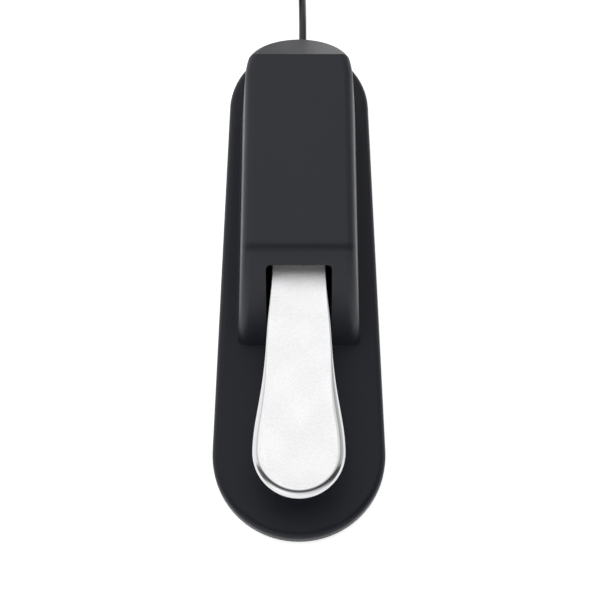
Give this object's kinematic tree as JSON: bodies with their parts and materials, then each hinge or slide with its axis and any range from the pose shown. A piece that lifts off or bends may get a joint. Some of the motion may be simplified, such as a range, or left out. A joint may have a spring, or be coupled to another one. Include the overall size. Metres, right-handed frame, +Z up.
{
  "type": "sustain pedal",
  "caption": "Piano-style sustain foot pedal: a plated spoon-shaped lever hinged in a raised black housing on a long rounded base, with a coiled lead and a jack plug.",
  "frame": {"origin": "middle of the footprint without the lead, on the surface that the pedal stands on", "axes": "+X right, +Y from the toe of the pedal to the end where the lead leaves, +Z up"},
  "size_m": [0.0936, 0.455, 0.0615],
  "materials": {
    "shell_plastic": "satin black moulded plastic with a fine spark-eroded grain",
    "plated_lever": "satin plated top with a polished rolled edge",
    "plate_steel": "black powder coat",
    "sole_rubber": "matt, with cross grooves",
    "dark_fasteners": "black oxide",
    "zinc_fasteners": "bright zinc plate",
    "bracket_steel": "zinc plated folded steel",
    "axle_steel": "ground pin",
    "spring_steel": "drawn wire",
    "white_nylon": "natural nylon",
    "stop_rubber": "matt",
    "board_laminate": "solder mask",
    "brass_parts": "plain",
    "switch_plastic": "moulded",
    "button_plastic": "moulded",
    "wire_insulation": "extruded",
    "cord_jacket": "smooth extruded black jacket",
    "boot_rubber": "moulded, ringed",
    "tie_fabric": "woven hook and loop strap",
    "plug_plastic": "moulded grip with flutes",
    "plug_metal": "nickel plate",
    "insulator_plastic": "plain"
  },
  "bodies": {
    "base": {"top_shell": "shell_plastic", "base_plate": "plate_steel", "rubber_mat": "sole_rubber", "base_screws": "dark_fasteners", "pivot_bracket": "bracket_steel", "bracket_screws": "zinc_fasteners", "bracket_nuts": "zinc_fasteners", "pivot_axle": "axle_steel", "axle_clips": "dark_fasteners", "spring_cup": "white_nylon", "return_spring": "spring_steel", "rest_pad": "stop_rubber", "down_pad": "stop_rubber", "circuit_board": "board_laminate", "board_posts": "brass_parts", "board_screws": "zinc_fasteners", "switch_body": "switch_plastic", "switch_pins": "brass_parts", "polarity_body": "switch_plastic", "polarity_pins": "brass_parts", "inner_leads": "wire_insulation", "clamp_saddle": "white_nylon", "clamp_bar": "white_nylon", "clamp_screws": "zinc_fasteners", "strain_relief": "boot_rubber", "cord_stub": "cord_jacket", "cord_tube": "cord_jacket", "cord_coil": "cord_jacket", "cord_tail": "cord_jacket", "coil_tie": "tie_fabric", "plug_boot": "boot_rubber", "plug_handle": "plug_plastic", "plug_sleeve": "plug_metal", "plug_insulator": "insulator_plastic", "plug_tip": "plug_metal"},
    "pedal": {"lever": "plated_lever", "carrier": "bracket_steel", "carrier_screws": "zinc_fasteners", "pivot_bushes": "white_nylon", "spring_guide": "white_nylon"},
    "plunger": {"switch_plunger": "button_plastic"},
    "polarity": {"polarity_knob": "button_plastic"}
  },
  "joints": [
    {"name": "pedal_hinge", "type": "hinge", "parent": "base", "child": "pedal", "pos_m": [0, 0.062, 0.038], "axis": [1, 0, 0], "range_deg": [0, 5], "stiffness_Nm_per_rad": 8, "springref_deg": -14.32, "deforming": ["return_spring"]},
    {"name": "plunger_slide", "type": "slide", "parent": "base", "child": "plunger", "axis": [0, 1, 0], "range_m": [0, 0.0026]},
    {"name": "polarity_slide", "type": "slide", "parent": "base", "child": "polarity", "axis": [1, 0, 0], "range_m": [0, 0.004]}
  ],
  "couplings": [
    {"joint": "plunger_slide", "follows": "pedal_hinge", "m_per_rad": 0.02795}
  ]
}
